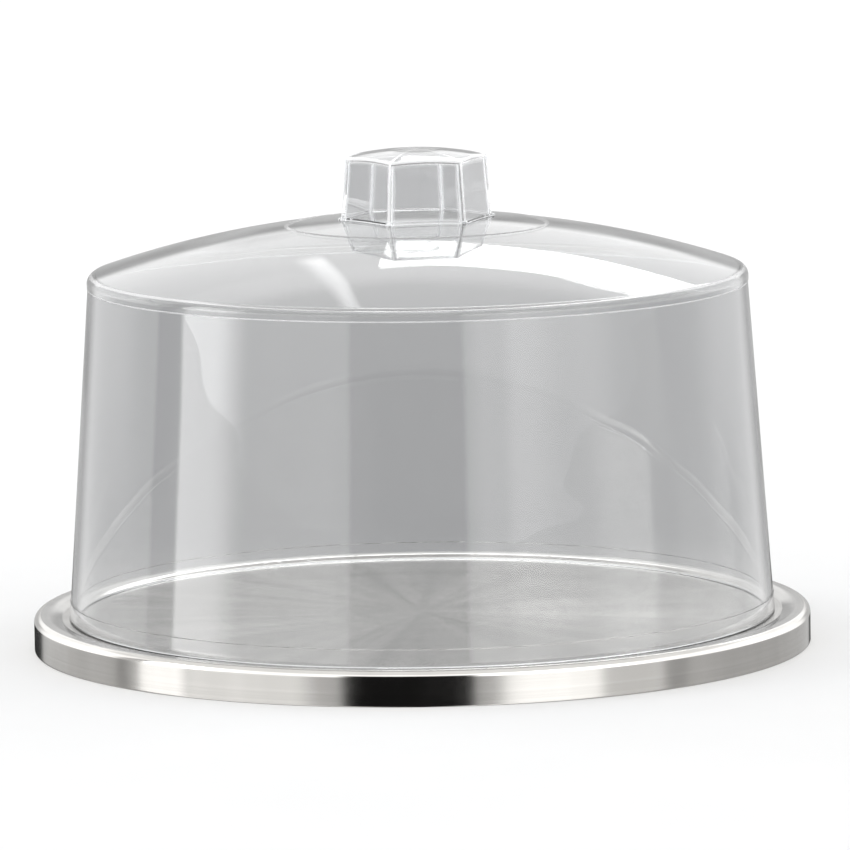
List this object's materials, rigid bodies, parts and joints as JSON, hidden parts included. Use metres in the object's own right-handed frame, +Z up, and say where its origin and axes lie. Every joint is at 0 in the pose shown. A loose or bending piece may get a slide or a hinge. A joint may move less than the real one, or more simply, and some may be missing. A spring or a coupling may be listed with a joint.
{
  "type": "cake plate with dome cover",
  "caption": "Low pressed-steel cake plate with a clear, slightly tapered dome cover that lifts off by a hollow six-sided knob.",
  "frame": {"origin": "centre of the circle on which the plate rests, at the height of the table", "axes": "+Z up along the axis of the plate, the cover and the knob; +X through one corner of the six-sided knob"},
  "size_m": [0.335, 0.335, 0.2142],
  "materials": {
    "plate_steel": "stainless steel, polished rim and finely spun satin floor",
    "cover_plastic": "clear, glossy, injection moulded",
    "knob_plastic": "clear, glossy, injection moulded"
  },
  "bodies": {
    "plate": {"cake_plate": "plate_steel"},
    "cover": {"dome_cover": "cover_plastic", "lid_knob": "knob_plastic"}
  },
  "joints": [
    {"name": "cover_lift", "type": "slide", "parent": "plate", "child": "cover", "axis": [0, 0, 1], "range_m": [0, 0.25]}
  ]
}
